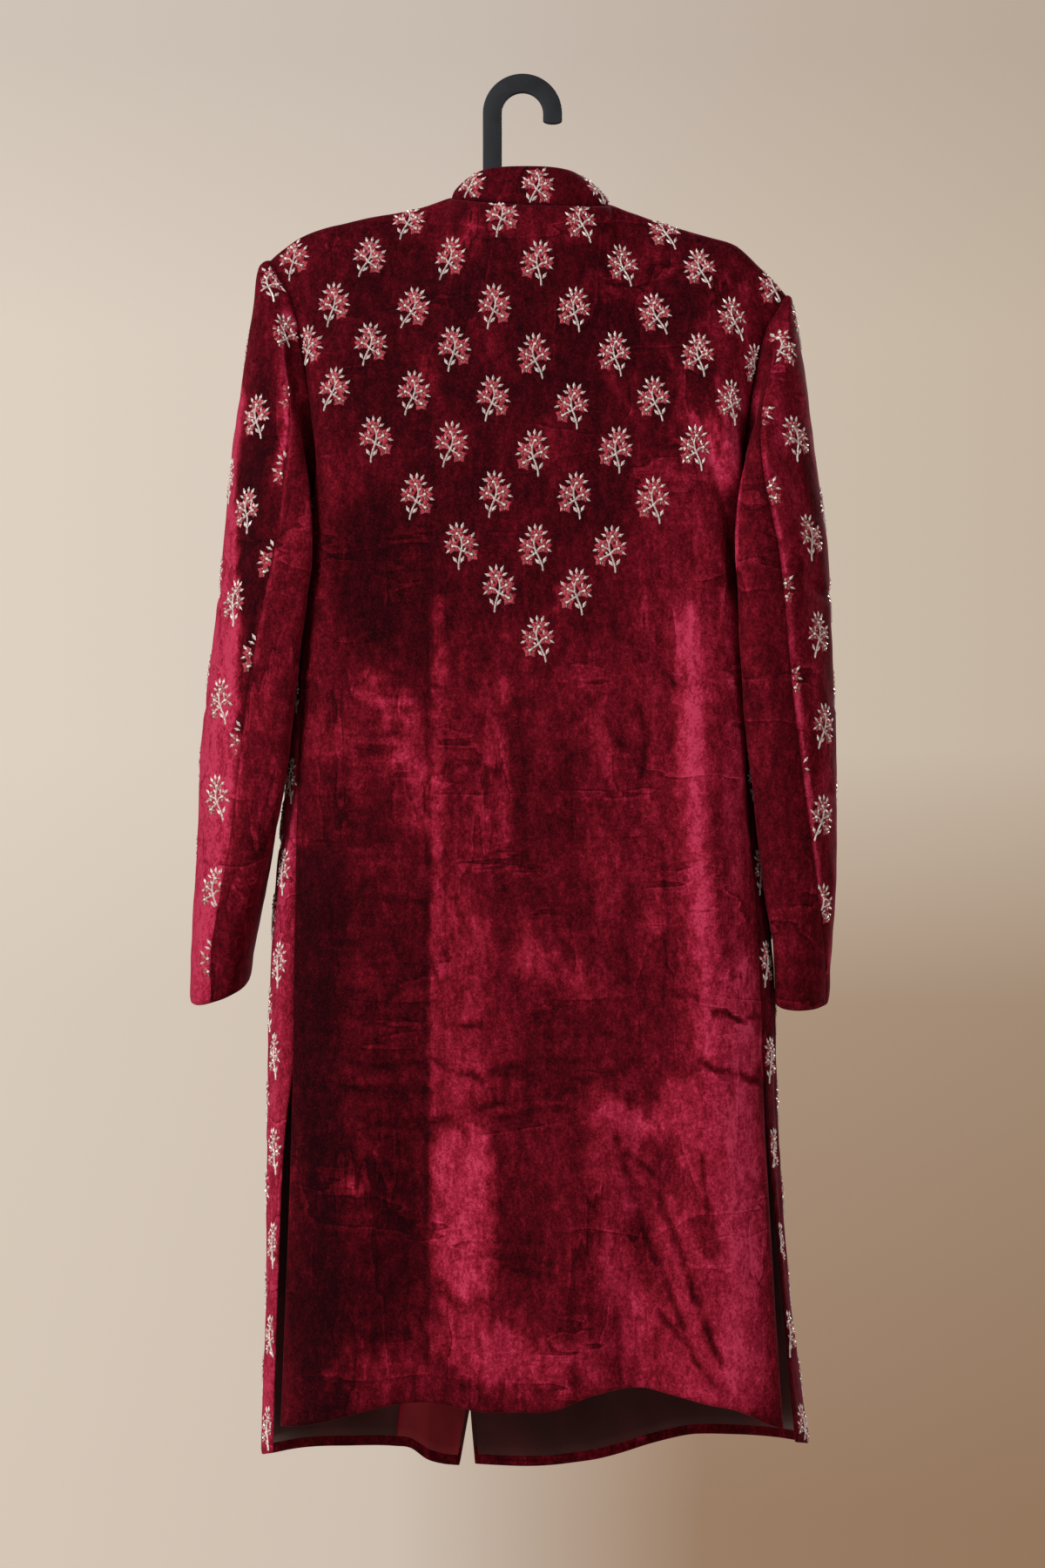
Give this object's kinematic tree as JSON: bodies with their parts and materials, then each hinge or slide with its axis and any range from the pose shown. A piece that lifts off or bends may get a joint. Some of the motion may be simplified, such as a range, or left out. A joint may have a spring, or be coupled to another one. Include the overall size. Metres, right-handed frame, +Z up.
{
  "type": "sherwani coat on a clothes hanger",
  "caption": "Long stand-collar velvet sherwani coat, embroidered yoke, sleeves and fronts, side slits, hanging on a flat plastic hanger.",
  "frame": {"origin": "seat of the hanger's hook, where a rail or wall hook holds it", "axes": "+Z up, the coat's back faces +Y and its front -Y, the wearer's left is +X"},
  "size_m": [0.5595, 0.1739, 1.2145],
  "materials": {
    "velvet": "burgundy velvet pile, embroidered with silver cord, stones and red beads",
    "lining": "maroon satin",
    "facing": "red satin",
    "silver": "silvered thread and buttons, set with small clear stones",
    "hanger": "black, satin"
  },
  "bodies": {
    "root": {"back": "velvet", "front_left": "velvet", "front_right": "velvet", "sleeve_upper_left": "velvet", "sleeve_upper_right": "velvet", "sleeve_under_left": "velvet", "sleeve_under_right": "velvet", "collar": "velvet", "lining_left": "lining", "lining_right": "lining", "facing_left": "facing", "button_1": "silver", "button_2": "silver", "button_3": "silver", "button_4": "silver", "button_5": "silver", "button_6": "silver", "button_7": "silver", "hanger": "hanger"}
  },
  "joints": []
}
